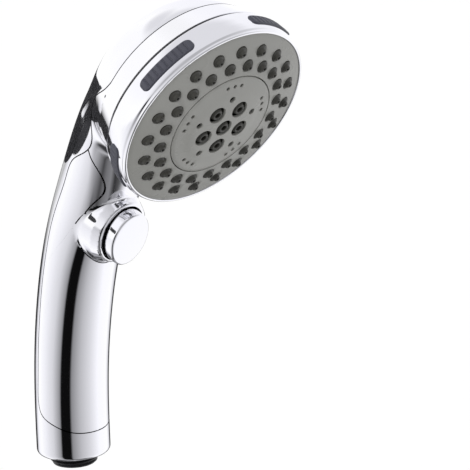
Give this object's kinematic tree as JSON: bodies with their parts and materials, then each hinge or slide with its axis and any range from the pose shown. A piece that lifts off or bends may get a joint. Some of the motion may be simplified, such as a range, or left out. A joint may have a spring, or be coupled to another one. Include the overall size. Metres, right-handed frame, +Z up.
{
  "type": "handheld shower head",
  "caption": "Handheld shower with a curved chrome handle, a round turning spray face with rubber nozzles, and a pause button on the neck.",
  "frame": {"origin": "centre of the threaded inlet's end face, where the hose screws on", "axes": "+Z runs up the inlet and the straight lower part of the handle; the spray face looks towards -Y and down; +X is to the right when looking at the spray face from behind it, and X = 0 is the plane of symmetry"},
  "size_m": [0.0884, 0.1405, 0.2149],
  "materials": {
    "chrome": "polished",
    "face_grey": "satin",
    "nozzle_rubber": "matte",
    "grip_rubber": "satin",
    "black_plastic": "satin",
    "white_acetal": "satin",
    "seal_rubber": "matte",
    "steel": "satin"
  },
  "bodies": {
    "housing": {"rear_shell": "chrome", "front_cover": "chrome", "head_housing": "chrome", "inlet_connector": "black_plastic", "inlet_oring": "seal_rubber", "inlet_filter": "steel", "flow_restrictor": "white_acetal", "valve_body": "white_acetal", "water_tube": "white_acetal", "tube_oring_lower": "seal_rubber", "tube_oring_upper": "seal_rubber", "head_duct": "white_acetal", "duct_oring_lower": "seal_rubber", "duct_oring_upper": "seal_rubber", "button_sleeve": "black_plastic", "valve_gland": "white_acetal", "button_spring": "steel", "slip_disc": "black_plastic", "port_seal": "seal_rubber", "pivot_screw": "steel", "detent_spring": "steel"},
    "spray_head": {"bezel_ring": "chrome", "grip_pad_1": "grip_rubber", "grip_pad_2": "grip_rubber", "grip_pad_3": "grip_rubber", "grip_pad_4": "grip_rubber", "grip_pad_5": "grip_rubber", "chamber_body": "black_plastic", "nozzle_mat": "nozzle_rubber", "face_plate": "face_grey", "centre_disc": "face_grey", "massage_insert": "nozzle_rubber", "pivot_washer": "steel"},
    "pause_button": {"button_cap": "chrome", "valve_stem": "steel", "stem_oring_upper": "seal_rubber", "stem_oring_lower": "seal_rubber"},
    "detent": {"detent_pin": "steel"}
  },
  "joints": [
    {"name": "spray_turn", "type": "hinge", "parent": "housing", "child": "spray_head", "pos_m": [0, -0.10126, 0.1684], "axis": [0, -0.848, -0.5299], "continuous": true},
    {"name": "button_press", "type": "slide", "parent": "housing", "child": "pause_button", "axis": [0, 0.9205, 0.3907], "range_m": [0, 0.0035], "stiffness_N_per_m": 900, "springref_m": -0.003, "deforming": ["button_spring"]},
    {"name": "detent_click", "type": "slide", "parent": "housing", "child": "detent", "axis": [0, 0.848, 0.5299], "range_m": [0, 0.001], "stiffness_N_per_m": 600, "springref_m": -0.001, "deforming": ["detent_spring"]}
  ]
}
